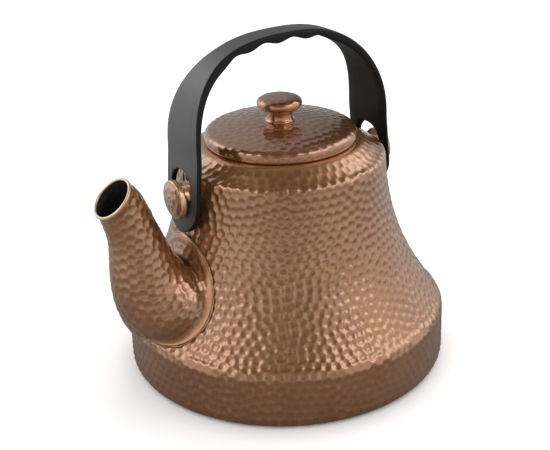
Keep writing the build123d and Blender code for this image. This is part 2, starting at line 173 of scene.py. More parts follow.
# ---- curves and grids ----
def bezier(points, count):
    """Return count points of a Bezier curve, both ends included."""
    control = np.array(points, float)
    order = len(control) - 1
    t = np.linspace(0, 1, count)[:, None]
    total = np.zeros((count, control.shape[1]))
    for index, point in enumerate(control):
        weight = math.comb(order, index) * t**index * (1 - t) ** (order - index)
        total += weight * point
    return total


def join(*stretches):
    """Join point lists end to end, leaving out each repeated first point."""
    parts = [np.array(stretches[0], float)]
    for stretch in stretches[1:]:
        parts.append(np.array(stretch, float)[1:])
    return np.vstack(parts)


def arc_length(points):
    """Return the distance along a polyline at each of its points."""
    steps = np.linalg.norm(np.diff(points, axis=0), axis=1)
    return np.concatenate([[0], np.cumsum(steps)])


def respace(points, count):
    """Return count points evenly spaced along a polyline."""
    along = arc_length(points)
    wanted = np.linspace(0, along[-1], count)
    return np.stack([np.interp(wanted, along, column) for column in points.T], axis=1)


def resample(points, step):
    """Return points evenly spaced along a polyline, about step apart."""
    return respace(points, max(2, int(round(arc_length(points)[-1] / step)) + 1))


def smoothstep(value, low, high, start=0.0):
    """Return 0 below start + low and 1 above start + high, with a smooth turn between them."""
    low, high = start + low, start + high
    t = np.clip((value - low) / (high - low), 0, 1)
    return t * t * (3 - 2 * t)


def unit(vectors):
    """Return a list of vectors, each made one long."""
    return vectors / np.linalg.norm(vectors, axis=1, keepdims=True)


def lathe(profile, around):
    """Turn (radius, height) points into a grid of points round the Z axis."""
    angles = np.linspace(0, 2 * np.pi, around, endpoint=False)
    radius = profile[:, 0][:, None]
    height = np.repeat(profile[:, 1][:, None], around, axis=1)
    return np.stack([radius * np.cos(angles), radius * np.sin(angles), height], axis=2)


def lathe_along_x(profile, around, z):
    """Turn (radius, x) points into a grid of points round a line along X at a height."""
    turned = lathe(profile, around)
    return np.stack([turned[:, :, 2], turned[:, :, 0], turned[:, :, 1] + z], axis=2)


def grid_normals(grid, outward=1.0):
    """Return unit normals of a grid whose second direction closes on itself."""
    along = np.gradient(grid, axis=0)
    across = np.roll(grid, -1, axis=1) - np.roll(grid, 1, axis=1)
    normal = np.cross(across, along)
    length = np.linalg.norm(normal, axis=2, keepdims=True)
    return outward * normal / np.maximum(length, 1e-9)


# ---- hammering ----
# In parts of the dimples' pitch:
ROW_SPACING = 0.866
ROW_SHIFT = 0.15
DIMPLE_JITTER = 0.3
PUSH_REACH = 1.2
PUSH_STEP = 0.3
HOLLOW_RADIUS = 0.57
# How much the dimples differ in depth and in size, and how sharp the ridges between them are:
DEPTH_SPREAD = 0.3
SIZE_SPREAD = 0.08
RIDGE_SHARPNESS = 9.0
# A short step round the grid, in turns, and how many dimples are handled at a time:
TURN_STEP = 0.002
PUSH_BLOCK = 400
NEAREST_DIMPLES = 3


def grid_point(grid, row, turn):
    """Read a grid between its points: row in grid rows, turn in parts of a turn."""
    rows, around = grid.shape[:2]
    low_row = np.clip(np.floor(row).astype(int), 0, rows - 2)
    column = (turn % 1.0) * around
    low_column = np.floor(column).astype(int) % around
    next_column = (low_column + 1) % around
    up = (row - low_row)[:, None]
    side = (column - np.floor(column))[:, None]
    near = grid[low_row, low_column] * (1 - side) + grid[low_row, next_column] * side
    far = grid[low_row + 1, low_column] * (1 - side) + grid[low_row + 1, next_column] * side
    return near * (1 - up) + far * up


def first_dimples(grid, pitch):
    """Place dimples in staggered rows, as (row, turn) places on the grid."""
    closed = np.concatenate([grid, grid[:, :1]], axis=1)
    perimeter = np.linalg.norm(np.diff(closed, axis=1), axis=2).sum(axis=1)
    steps = np.linalg.norm(np.diff(grid, axis=0), axis=2).mean(axis=1)
    along = np.concatenate([[0], np.cumsum(steps)])
    row_count = max(1, int(round(along[-1] / (ROW_SPACING * pitch))))
    rows = []
    turns = []
    for index in range(row_count + 1):
        row = np.interp(along[-1] * index / row_count, along, np.arange(len(along)))
        count = max(1, int(round(np.interp(row, np.arange(len(perimeter)), perimeter) / pitch)))
        phase = 0.5 * (index % 2) / count + ROW_SHIFT * rng.random() / count
        row_jitter = DIMPLE_JITTER * rng.normal(size=count) * len(along) / row_count
        turn_jitter = DIMPLE_JITTER * rng.normal(size=count) / count
        rows.append(np.clip(row + row_jitter, 0, len(along) - 1))
        turns.append(np.arange(count) / count + phase + turn_jitter)
    return np.concatenate(rows), np.concatenate(turns)


def spread_dimples(grid, rows, turns, pitch, rounds):
    """Push close dimples apart along the surface, so that they pack evenly."""
    reach = PUSH_REACH * pitch
    row_limit = grid.shape[0] - 1
    for _ in range(rounds):
        place = grid_point(grid, rows, turns)
        push = np.zeros_like(place)
        for start in range(0, len(place), PUSH_BLOCK):
            block = place[start : start + PUSH_BLOCK]
            apart = block[:, None, :] - place[None, :, :]
            distance = np.sqrt((apart**2).sum(axis=2))
            strength = np.where((distance > 1e-6) & (distance < reach), 1 - distance / reach, 0)
            weight = strength / np.maximum(distance, 1e-6)
            push[start : start + PUSH_BLOCK] = (weight[:, :, None] * apart).sum(axis=1)
        push *= PUSH_STEP * pitch
        step_row = grid_point(grid, np.clip(rows + 0.5, 0, row_limit), turns)
        step_row -= grid_point(grid, np.clip(rows - 0.5, 0, row_limit), turns)
        step_turn = grid_point(grid, rows, turns + TURN_STEP) - grid_point(grid, rows, turns - TURN_STEP)
        step_turn /= 2 * TURN_STEP
        rows = rows + (push * step_row).sum(axis=1) / np.maximum((step_row**2).sum(axis=1), 1e-6)
        turns = turns + (push * step_turn).sum(axis=1) / np.maximum((step_turn**2).sum(axis=1), 1e-6)
        rows = np.clip(rows, 0, row_limit)
    return grid_point(grid, rows, turns)


def hollow_depth(points, centres, pitch):
    """Return how deep each point lies in its dimple: 1 at a centre, near 0 on ridges."""
    tree = kdtree.KDTree(len(centres))
    for index, centre in enumerate(centres):
        tree.insert(centre, index)
    tree.balance()
    strength = 1 - DEPTH_SPREAD / 2 + DEPTH_SPREAD * rng.random(len(centres))
    size = HOLLOW_RADIUS * pitch * (1 - SIZE_SPREAD / 2 + SIZE_SPREAD * rng.random(len(centres)))
    total = np.empty(len(points))
    for index, point in enumerate(points):
        amount = 1.0
        for _, centre_index, distance in tree.find_n(point, NEAREST_DIMPLES):
            hollow = strength[centre_index] * (1 - (distance / size[centre_index]) ** 2)
            amount += math.exp(RIDGE_SHARPNESS * max(hollow, -1.0))
        total[index] = math.log(amount) / RIDGE_SHARPNESS
    return total


def hammer(grid, centres, pitch, depth, share, outward=1.0):
    """Sink the dimples into a grid. share, from 0 to 1, fades them by row."""
    normals = grid_normals(grid, outward)
    hollow = np.zeros(grid.shape[:2])
    wanted = share > 0.001
    points = grid[wanted]
    hollow[wanted] = hollow_depth(points.reshape(-1, 3), centres, pitch).reshape(points.shape[:2])
    hollow *= share[:, None]
    return grid - normals * (depth * hollow)[:, :, None], hollow


def lay_dimples(zone, pitch, rounds):
    """Return the centres of dimples packed evenly over a zone of a grid."""
    rows, turns = first_dimples(zone, pitch)
    return spread_dimples(zone, rows, turns, pitch, rounds)


# ---- meshes ----
def add_mesh(name, vertices, faces, material, hollow=None):
    """Make an object from points in millimetres, with the dimple depth as an attribute."""
    mesh = bpy.data.meshes.new(name)
    mesh.from_pydata((np.asarray(vertices) * MM).tolist(), [], faces)
    mesh.update()
    if hollow is not None:
        attribute = mesh.attributes.new("hollow", "FLOAT", "POINT")
        attribute.data.foreach_set("value", np.asarray(hollow, np.float32))
    mesh.materials.append(material)
    mesh.polygons.foreach_set("use_smooth", [True] * len(mesh.polygons))
    piece = bpy.data.objects.new(name, mesh)
    bpy.context.collection.objects.link(piece)
    return piece


def grid_faces(rows, around, closed_rows):
    """Return the quads of a grid that closes round its second direction."""
    row = np.arange(rows if closed_rows else rows - 1)
    row, column = np.meshgrid(row, np.arange(around), indexing="ij")
    next_row = (row + 1) % rows
    next_column = (column + 1) % around
    corners = ((row, column), (row, next_column), (next_row, next_column), (next_row, column))
    return np.stack([level * around + turn for level, turn in corners], axis=2).reshape(-1, 4).tolist()


def grid_piece(name, grid, material, hollow=None, closed_rows=False, caps=False, flip=False):
    """Make a piece from a grid; caps closes its first and last rings with fans."""
    rows, around = grid.shape[:2]
    vertices = grid.reshape(-1, 3)
    faces = grid_faces(rows, around, closed_rows)
    depths = hollow.reshape(-1) if hollow is not None else None
    if caps:
        ends = np.stack([grid[0].mean(axis=0), grid[-1].mean(axis=0)])
        first = len(vertices)
        vertices = np.vstack([vertices, ends])
        depths = np.concatenate([depths, [0, 0]]) if depths is not None else None
        for column in range(around):
            after = (column + 1) % around
            faces.append([first, after, column])
            faces.append([first + 1, (rows - 1) * around + column, (rows - 1) * around + after])
    if flip:
        faces = [face[::-1] for face in faces]
    return add_mesh(name, vertices, faces, material, depths)


def set_material(piece, material, first, last):
    """Give a second material to the faces whose corners are all from first to before last."""
    piece.data.materials.append(material)
    for polygon in piece.data.polygons:
        if all(first <= vertex < last for vertex in polygon.vertices):
            polygon.material_index = 1


def settle(piece, body, node):
    """Let a piece ride on its body in place of a CAD node, which it hides."""
    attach(piece, body)
    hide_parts(node)


def cut(piece, cutters):
    """Cut closed pieces out of a piece, and delete the cutters."""
    for cutter in cutters:
        modifier = piece.modifiers.new("cut", "BOOLEAN")
        modifier.operation = "DIFFERENCE"
        modifier.solver = "EXACT"
        modifier.object = cutter
    graph = bpy.context.evaluated_depsgraph_get()
    mesh = bpy.data.meshes.new_from_object(piece.evaluated_get(graph))
    piece.modifiers.clear()
    piece.data = mesh
    for cutter in cutters:
        bpy.data.objects.remove(cutter)


def drill(side, reach, radius, z, material):
    """Return a cutter along X at a height and one side, between two distances from the axis."""
    low, high = sorted((side * reach[0], side * reach[1]))
    grid = lathe_along_x(np.array([[radius, low], [radius, high]]), 64, z)
    return grid_piece("cutter", grid, material, caps=True)


# ---- materials ----
# How much paler the painted highlight on the dimples' ridges is.
RIDGE_HIGHLIGHT_PALENESS = 1.7
SPECK_SHARE = 0.6


def new_material(name):
    """Return a new material, its node tree and its Principled node."""
    material = bpy.data.materials.new(name)
    material.use_nodes = True
    tree = material.node_tree
    return material, tree, tree.nodes["Principled BSDF"]


def fill(tree, node, inputs):
    """Set a node's inputs, each from a socket or to a fixed value."""
    for place, source in inputs.items():
        if isinstance(source, bpy.types.NodeSocket):
            tree.links.new(source, node.inputs[place])
        else:
            node.inputs[place].default_value = source


def add_node(tree, kind, output, inputs, **settings):
    """Add a node with its settings and inputs. Returns one of its outputs."""
    node = tree.nodes.new("ShaderNode" + kind)
    for name, value in settings.items():
        setattr(node, name, value)
    fill(tree, node, inputs)
    return node.outputs[output]


def noise(tree, scale, detail=3.0, roughness=0.5, stretch=(1, 1, 1)):
    """Add object-space noise, with scale in cycles per metre. Returns its output."""
    place = add_node(tree, "TexCoord", "Object", {})
    mapped = add_node(tree, "Mapping", "Vector", {"Vector": place, "Scale": stretch})
    inputs = {"Vector": mapped, "Scale": scale, "Detail": detail, "Roughness": roughness}
    return add_node(tree, "TexNoise", "Fac", inputs)


def ramp(tree, source, stops):
    """Map a value through colour stops. Returns the colour output."""
    node = tree.nodes.new("ShaderNodeValToRGB")
    elements = node.color_ramp.elements
    while len(elements) < len(stops):
        elements.new(0.5)
    for element, (position, colour) in zip(elements, stops):
        element.position = position
        element.color = (*colour, 1)
    fill(tree, node, {"Fac": source})
    return node.outputs["Color"]


def drift(tree, source, low, high):
    """Map a value from 0 to 1 to one from low to high. Returns the output."""
    return add_node(tree, "MapRange", "Result", {"Value": source, "To Min": low, "To Max": high})


def mix_colour(tree, factor, first, second, blend="MIX"):
    """Mix two colours by a factor. Returns the output."""
    inputs = {0: factor, 6: first, 7: second}
    return add_node(tree, "Mix", 2, inputs, data_type="RGBA", blend_type=blend)


def bump(tree, source, distance):
    """Turn a height, distance metres at its fullest, into a normal. Returns the output."""
    return add_node(tree, "Bump", "Normal", {"Height": source, "Distance": distance})


def grey(value):
    """Return a neutral colour."""
    return (value, value, value)


def copper(name, light, dark, roughness, hammered=True):
    """Copper under a clear coat: its tone drifts slowly, and the ridges between the dimples get a painted
    highlight, a paler copper.
    """
    material, tree, shader = new_material(name)
    tone = ramp(tree, noise(tree, scale=28, detail=4.0), [(0.3, dark), (0.7, light)])
    if hammered:
        # Painted highlight: where the dimple depth is near 0, on the ridges and on unhammered stretches,
        # the tone is mixed towards a paler copper.
        depth = add_node(tree, "Attribute", "Fac", {}, attribute_name="hollow")
        ridge_highlight = ramp(tree, depth, [(0.0, grey(0.6)), (0.3, grey(0.1)), (0.5, grey(0.0))])
        pale = [min(1, RIDGE_HIGHLIGHT_PALENESS * value) for value in light]
        tone = mix_colour(tree, ridge_highlight, tone, (*pale, 1))
    speck = ramp(tree, noise(tree, scale=900, detail=2.0), [(0.28, grey(0.82)), (0.42, grey(1.0))])
    wear = noise(tree, scale=160, detail=5.0, roughness=0.6)
    grain = noise(tree, scale=520, detail=4.0, roughness=0.6)
    looks = {
        "Base Color": mix_colour(tree, SPECK_SHARE, tone, speck, "MULTIPLY"),
        "Roughness": drift(tree, wear, roughness - 0.05, roughness + 0.07),
        "Metallic": 0.82,
        "Coat Weight": 1.0,
        "Coat Roughness": 0.14,
        "Coat IOR": 1.8,
        "Normal": bump(tree, grain, 0.00004),
    }
    fill(tree, shader, looks)
    return material


def moulded_plastic(name, tones, gloss_level, roughness):
    """Black moulded nylon with a fine spark-eroded grain and faint handling wear."""
    material, tree, shader = new_material(name)
    wear = noise(tree, scale=240, detail=4.0, roughness=0.6)
    looks = {
        "Base Color": ramp(tree, noise(tree, scale=45), [(0.3, grey(tones[0])), (0.75, grey(tones[1]))]),
        "Roughness": drift(tree, wear, roughness - 0.06, roughness + 0.08),
        "Specular IOR Level": gloss_level,
        "Normal": bump(tree, noise(tree, scale=2600, detail=2.0), 0.00005),
    }
    fill(tree, shader, looks)
    return material


def plain_metal(name, light, dark, roughness, stretch=(1, 1, 1)):
    """Bare metal with a fine mottle, which stretch draws out into streaks."""
    material, tree, shader = new_material(name)
    mottle = noise(tree, scale=300, detail=4.0, roughness=0.6, stretch=stretch)
    wear = noise(tree, scale=700, roughness=0.6, stretch=stretch)
    grain = noise(tree, scale=1500, roughness=0.6, stretch=stretch)
    looks = {
        "Base Color": ramp(tree, mottle, [(0.3, dark), (0.7, light)]),
        "Roughness": drift(tree, wear, roughness - 0.08, roughness + 0.1),
        "Metallic": 1.0,
        "Normal": bump(tree, grain, 0.00003),
    }
    fill(tree, shader, looks)
    return material


def matt_black(name, light, dark, scale, roughness, grain=0.0):
    """Matt black with a faint mottle, for rubber and the near-black inside of the spout."""
    material, tree, shader = new_material(name)
    tone = ramp(tree, noise(tree, scale), [(0.3, dark), (0.7, light)])
    fill(tree, shader, {"Base Color": tone, "Roughness": roughness})
    if grain:
        fill(tree, shader, {"Normal": bump(tree, noise(tree, scale=1200), grain)})
    return material


# Each pair: the lighter and the darker tone of a material.
BODY_TONES = ((0.34, 0.152, 0.052), (0.26, 0.094, 0.026))
LID_TONES = ((0.32, 0.135, 0.055), (0.25, 0.090, 0.032))
STUD_TONES = ((0.46, 0.26, 0.14), (0.38, 0.19, 0.10))
RIM_TONES = ((0.66, 0.48, 0.31), (0.55, 0.38, 0.23))
INNER_TONES = ((0.20, 0.10, 0.06), (0.13, 0.06, 0.035))
BASE_TONES = ((0.36, 0.15, 0.08), (0.26, 0.10, 0.05))
SEAM_TONES = ((0.62, 0.42, 0.30), (0.30, 0.17, 0.10))
SOLDER_TONES = ((0.60, 0.56, 0.50), (0.42, 0.38, 0.33))
STEEL_TONES = ((0.62, 0.62, 0.61), (0.45, 0.45, 0.44))
LINING_TONES = ((0.005, 0.004, 0.003), grey(0.002))
RUBBER_TONES = ((0.035, 0.035, 0.034), grey(0.015))

body_copper = copper("body_copper", *BODY_TONES, roughness=0.32)
lid_copper = copper("lid_copper", *LID_TONES, roughness=0.26)
stud_copper = copper("stud_copper", *STUD_TONES, roughness=0.3)
rim_copper = copper("rim_copper", *RIM_TONES, roughness=0.3, hammered=False)
inner_copper = copper("inner_copper", *INNER_TONES, roughness=0.4, hammered=False)
base_copper = copper("base_copper", *BASE_TONES, roughness=0.34, hammered=False)
seam_solder = plain_metal("seam_solder", *SEAM_TONES, roughness=0.4)
plain_solder = plain_metal("plain_solder", *SOLDER_TONES, roughness=0.45)
fastener_steel = plain_metal("fastener_steel", *STEEL_TONES, roughness=0.35, stretch=(1, 1, 8))
handle_outer = moulded_plastic("handle_outer", tones=(0.024, 0.036), gloss_level=1.0, roughness=0.45)
# A much darker, duller copy of the handle's plastic for the chamfers, sides, inner face and opening walls:
# its darkness is painted shade, not a different plastic.
handle_painted_shade = moulded_plastic("handle_painted_shade", tones=(0.003, 0.005), gloss_level=0.2, roughness=0.5)
lining_black = matt_black("lining_black", *LINING_TONES, scale=200, roughness=0.7)
washer_rubber = matt_black("washer_rubber", *RUBBER_TONES, scale=400, roughness=0.8, grain=0.00005)


# ---- body ----
FOOT_FADE = (0.3, 3.0)
LEDGE_FADE = (46.0, 50.5)
SHOULDER_FADE = 3.0
SHOULDER_SOFTENING = 0.55


def body_outline(inset):
    """Return the body's (radius, height) outline from the foot to the mouth ledge."""
    base_radius = BASE_RADIUS - inset
    top_radius = BELL_TOP_RADIUS - inset
    ledge = LEDGE_Z - inset
    shoulder = BELL_TOP - inset
    corner = BAND_TOP - inset / 2
    turn = np.linspace(-math.pi / 2, 0, 10)
    foot_arc = (FOOT_ROUNDING - inset) * np.stack([np.cos(turn), np.sin(turn)], axis=1)
    foot = np.array([BASE_RADIUS - FOOT_ROUNDING, FOOT_ROUNDING]) + foot_arc
    band_end = (base_radius, corner - BAND_CORNER_LEAD)
    bell_start = (base_radius - BELL_START_INSET, corner + BELL_START_RISE)
    bell_pull = (base_radius - BELL_PULL_INSET, corner + BELL_PULL_RISE)
    neck_pull = (top_radius + BELL_NECK_FLARE, BELL_NECK_Z)
    bell_end = (top_radius, shoulder - SHOULDER_ROUNDING)
    shoulder_start = (BELL_TOP_RADIUS - SHOULDER_INSET, shoulder + SHOULDER_RISE)
    shoulder_pull = (BELL_TOP_RADIUS - SHOULDER_PULL_INSET, shoulder + SHOULDER_PULL_RISE)
    ledge_start = (LEDGE_RADIUS, ledge)
    return join(
        foot,
        [foot[-1], band_end],
        bezier([band_end, (base_radius, corner + BAND_CORNER_LEAD / 2), bell_start], 10),
        bezier([bell_start, bell_pull, neck_pull, bell_end], 80),
        bezier([bell_end, (top_radius, shoulder + 0.4 * SHOULDER_ROUNDING), shoulder_start], 10),
        bezier([shoulder_start, shoulder_pull, (LEDGE_RADIUS + LEDGE_PULL, ledge), ledge_start], 30),
        [ledge_start, (MOUTH_RADIUS, ledge)],
    )


def body_radius_at(height):
    """Return the outer radius of the bell at a height between the foot and its top."""
    outline = body_outline(0.0)
    side = outline[outline[:, 1] < BELL_TOP]
    return np.interp(height, side[:, 1], side[:, 0])


def make_body():
    """The raised sheet body: hammered outside, smooth inside, with its holes cut."""
    around = 576
    outside = resample(body_outline(0.0), step=0.92)
    outer = lathe(outside, around)
    radius, height = outside.T
    share = smoothstep(height, *FOOT_FADE) * smoothstep(radius, *LEDGE_FADE)
    share *= 1 - SHOULDER_SOFTENING * smoothstep(height, BELL_TOP, BELL_TOP + SHOULDER_FADE)
    hammered_rows = np.where(share > 0)[0]
    zone = outer[hammered_rows[0] : hammered_rows[-1] + 1 : 3, ::6]
    centres = lay_dimples(zone, DIMPLE_PITCH, rounds=30)
    outer, hollow = hammer(outer, centres, DIMPLE_PITCH, BODY_DIMPLE_DEPTH, share)
    inner = lathe(resample(body_outline(SHEET), step=4.0)[::-1], around)
    start = lathe(np.array([[FLANGE_INNER_RADIUS, SHEET], [FLANGE_INNER_RADIUS, 0.0]]), around)
    grid = np.concatenate([outer, inner, start])
    depths = np.concatenate([hollow, np.zeros((len(inner) + len(start), around))])
    piece = grid_piece("body_hammered", grid, body_copper, depths, closed_rows=True)
    set_material(piece, inner_copper, len(outer) * around, (len(outer) + len(inner)) * around)
    holes = [drill(-1, POUR_HOLE_REACH, POUR_HOLE_RADIUS, POUR_HOLE_Z, body_copper)]
    for side in (-1, 1):
        holes.append(drill(side, SHANK_HOLE_REACH, SHANK_HOLE_RADIUS, STUD_Z, body_copper))
    cut(piece, holes)
    settle(piece, "kettle_body", "body_shell")


# ---- lid and knob ----
CROWN_FADE = (0.5, 3.0)
RIM_FADE = (1.0, 3.0)
KNOB_EDGE_FADE = (0.5, 2.4)
KNOB_CENTRE_FADE = (0.3, 1.5)
KNOB_ZONE_START = 1.0


def lid_outline(inset):
    """Return the lid's (radius, height) outline from the rim's foot to the knob seat."""
    bulge = LID_RADIUS - inset
    top = LID_TOP - inset
    foot = (LID_RADIUS - LID_FOOT_INSET, LID_BOTTOM + inset)
    foot_ease = (bulge - LID_FOOT_EASE, foot[1])
    rim = (bulge, LID_RIM_Z)
    rim_pull = (bulge, LID_RIM_Z + LID_RIM_ROUNDING - inset / 2)
    edge = (LID_DOME_EDGE[0] - inset / 3, LID_DOME_EDGE[1] - inset)
    edge_pull = (edge[0] + LID_SHOULDER_PULL[0], edge[1] - LID_SHOULDER_PULL[1])
    dome_pull = (LID_DOME_EDGE[0] - LID_DOME_PULL, edge[1] + LID_DOME_RISE)
    crown = (KNOB_FOOT_RADIUS, top)
    return join(
        bezier([foot, foot_ease, (bulge, foot[1] + LID_FOOT_ROUNDING), rim], 10),
        bezier([rim, rim_pull, edge_pull, edge], 10),
        bezier([edge, dome_pull, (KNOB_FOOT_RADIUS + LID_CROWN_PULL, top), crown], 30),
        [crown, (SCREW_RADIUS, top)],
    )


def make_lid():
    """The domed lid: hammered top and rim, smooth underside."""
    around = 360
    outside = resample(lid_outline(0.0), step=0.8)
    outer = lathe(outside, around)
    share = smoothstep(outside[:, 0], *CROWN_FADE, start=KNOB_FOOT_RADIUS)
    share *= smoothstep(outside[:, 1], *RIM_FADE, start=LID_BOTTOM)
    hammered_rows = np.where(share > 0)[0]
    zone = outer[hammered_rows[0] : hammered_rows[-1] + 1 : 2, ::4]
    centres = lay_dimples(zone, DIMPLE_PITCH, rounds=20)
    outer, hollow = hammer(outer, centres, DIMPLE_PITCH, LID_DIMPLE_DEPTH, share)
    inner = lathe(resample(lid_outline(LID_SHEET), step=2.0)[::-1], around)
    foot_radius = LID_RADIUS - LID_FOOT_INSET - LID_SHEET
    foot = lathe(np.array([[foot_radius, LID_BOTTOM + LID_SHEET], [foot_radius, LID_BOTTOM]]), around)
    grid = np.concatenate([outer, inner, foot])
    depths = np.concatenate([hollow, np.zeros((len(inner) + len(foot), around))])
    piece = grid_piece("lid_hammered", grid, lid_copper, depths, closed_rows=True)
    settle(piece, "lid", "lid_cap")


def make_knob():
    """The turned mushroom knob, with a faintly hammered top."""
    foot = KNOB_FOOT_RADIUS
    neck = KNOB_NECK_RADIUS
    seat = (foot - KNOB_FOOT_EASE[0], LID_TOP)
    foot_low = (foot, LID_TOP + KNOB_FOOT_EASE[1])
    foot_high = (foot - KNOB_FOOT_STEP, LID_TOP + KNOB_FOOT_HEIGHT)
    foot_pull = (foot, foot_high[1] - KNOB_FOOT_CREASE)
    waist = (neck, KNOB_NECK_Z)
    waist_low_pull = (neck, foot_high[1] + KNOB_WAIST_PULL[0])
    waist_high_pull = (neck, KNOB_NECK_Z - KNOB_WAIST_PULL[1])
    head = (KNOB_RADIUS, KNOB_HEAD_Z)
    under_low_pull = (neck, KNOB_NECK_Z + KNOB_UNDERSIDE_PULL[0])
    under_high_pull = (KNOB_RADIUS, KNOB_HEAD_Z - KNOB_UNDERSIDE_PULL[1])
    crown_low_pull = (KNOB_RADIUS, KNOB_HEAD_Z + KNOB_CROWN_PULL[0])
    crown_high_pull = (KNOB_RADIUS - KNOB_CROWN_PULL[1], KNOB_TOP)
    outline = join(
        [(AXIS_GAP, LID_TOP), seat],
        bezier([seat, (foot, LID_TOP), foot_low], 5),
        bezier([foot_low, foot_pull, foot_high], 5),
        bezier([foot_high, waist_low_pull, waist_high_pull, waist], 10),
        bezier([waist, under_low_pull, under_high_pull, head], 24),
        bezier([head, crown_low_pull, crown_high_pull, (AXIS_GAP, KNOB_TOP)], 40),
    )
    profile = resample(outline, step=0.4)
    grid = lathe(profile, 160)
    share = smoothstep(profile[:, 1], *KNOB_EDGE_FADE, start=KNOB_HEAD_Z)
    share *= smoothstep(profile[:, 0], *KNOB_CENTRE_FADE)
    zone_rows = np.where(profile[:, 1] > KNOB_HEAD_Z + KNOB_ZONE_START)[0]
    zone = grid[zone_rows[0] :: 2, ::4]
    centres = lay_dimples(zone, KNOB_DIMPLE_PITCH, rounds=20)
    grid, hollow = hammer(grid, centres, KNOB_DIMPLE_PITCH, KNOB_DIMPLE_DEPTH, share)
    piece = grid_piece("knob_turned", grid, lid_copper, hollow, caps=True)
    settle(piece, "lid", "lid_knob")


# ---- spout ----
# Tube rings from the root's flare to the mouth: the point nearest the body, the point
# farthest from it, each (x, z) in the plane y = 0, and the half width across y.
SPOUT_RINGS = [
    ((-68.4, 78.6), (-99.8, 39.9), 28.2),
    ((-70.3, 80.3), (-104.9, 44.0), 26.6),
    ((-72.0, 82.4), (-110.4, 60.0), 22.0),
    ((-75.2, 87.0), (-112.0, 76.0), 19.0),
    ((-82.4, 104.0), (-111.6, 98.5), 14.9),
    ((-91.0, 125.0), (-115.0, 113.0), 12.6),
    ((-98.4, 134.4), (-117.2, 117.0), 12.9),
]
SEAM_CENTRE_Z = 63.4
SEAM_HALF_HEIGHT = 28.4
SEAM_HALF_WIDTH = 33.2
SEAM_SAG = 8.0
SPOUT_WALL = 1.3
LIP_RADIUS = 0.85
MOUTH_TILT = math.radians(47.2)
FLANGE_PROUD = 0.9
ROOT_PULL = 1.15
SEAM_FADE = (2.0, 5.5)
MOUTH_FADE = (1.0, 4.5)
ROOT_WALL_SHARE = 0.25
WALL_FADE = (18.0, 32.0)
SEAM_WAVES = (7, 13, 23, 37, 61)
SEAM_WOBBLE = 0.12
SEAM_GROW = 0.35
SEAM_LIFT = 0.1
BEAD_RADIUS = 0.42
BEAD_SWELL = 0.08
BEAD_LIMITS = (0.25, 0.7)
LIP_SETBACK = 0.3
EDGE_SINK = 0.2


def spline(points, count):
    """Return count points of a smooth curve through points, Catmull-Rom style."""
    knots = np.array(points, float)
    padded = np.vstack([2 * knots[0] - knots[1], knots, 2 * knots[-1] - knots[-2]])
    spans = len(knots) - 1
    place = np.linspace(0, spans, count)
    span = np.minimum(place.astype(int), spans - 1)
    t = (place - span)[:, None]
    p0, p1, p2, p3 = (padded[span + shift] for shift in range(4))
    return 0.5 * (
        2 * p1 + (p2 - p0) * t + (2 * p0 - 5 * p1 + 4 * p2 - p3) * t**2 + (3 * p1 - p0 - 3 * p2 + p3) * t**3
    )


def seam_curve(angles, grow=0.0):
    """Return the seam's points on the body, angle 0 at its top, and the body's normals."""
    y = -(SEAM_HALF_WIDTH + grow) * np.sin(angles)
    z = SEAM_CENTRE_Z + (SEAM_HALF_HEIGHT + grow) * np.cos(angles) - SEAM_SAG * np.sin(angles) ** 2
    radius = body_radius_at(z)
    x = -np.sqrt(radius**2 - y**2)
    slope = (body_radius_at(z + 1) - body_radius_at(z - 1)) / 2
    return np.stack([x, y, z], axis=1), unit(np.stack([x / radius, y / radius, -slope], axis=1))


def tube_rings(angles, count):
    """Return the tube's rings of points, from the root's flare to the mouth."""
    near = spline([ring[0] for ring in SPOUT_RINGS], count)
    far = spline([ring[1] for ring in SPOUT_RINGS], count)
    width = spline([[ring[2]] for ring in SPOUT_RINGS], count)
    centre = (near + far) / 2
    reach = (near - far) / 2
    cosine = np.cos(angles)[None, :, None]
    in_plane = centre[:, None, :] + cosine * reach[:, None, :]
    across = -width * np.sin(angles)[None, :]
    return np.stack([in_plane[:, :, 0], across, in_plane[:, :, 1]], axis=2)


def spout_grid(around, root_rows, tube_rows):
    """Return the spout's outer surface, from the seam on the body to its mouth."""
    angles = np.linspace(0, 2 * np.pi, around, endpoint=False)
    tube = tube_rings(angles, tube_rows)
    seam, normal = seam_curve(angles)
    wider, _ = seam_curve(angles, 1.0)
    start = seam + FLANGE_PROUD * normal
    end = tube[0]
    span = np.linalg.norm(end - start, axis=1, keepdims=True)
    start_pull = -unit(wider - seam) * span * ROOT_PULL
    end_pull = unit(tube[1] - tube[0]) * span * ROOT_PULL
    t = np.linspace(0, 1, root_rows)[:, None, None]
    root = (
        (2 * t**3 - 3 * t**2 + 1) * start
        + (t**3 - 2 * t**2 + t) * start_pull
        + (3 * t**2 - 2 * t**3) * end
        + (t**3 - t**2) * end_pull
    )
    radius = np.hypot(root[:, :, 0], root[:, :, 1])
    clear = body_radius_at(root[:, :, 2]) + FLANGE_PROUD
    push = np.maximum(clear / radius, 1.0)
    root[:, :, :2] *= push[:, :, None]
    return np.concatenate([root, tube[1:]])


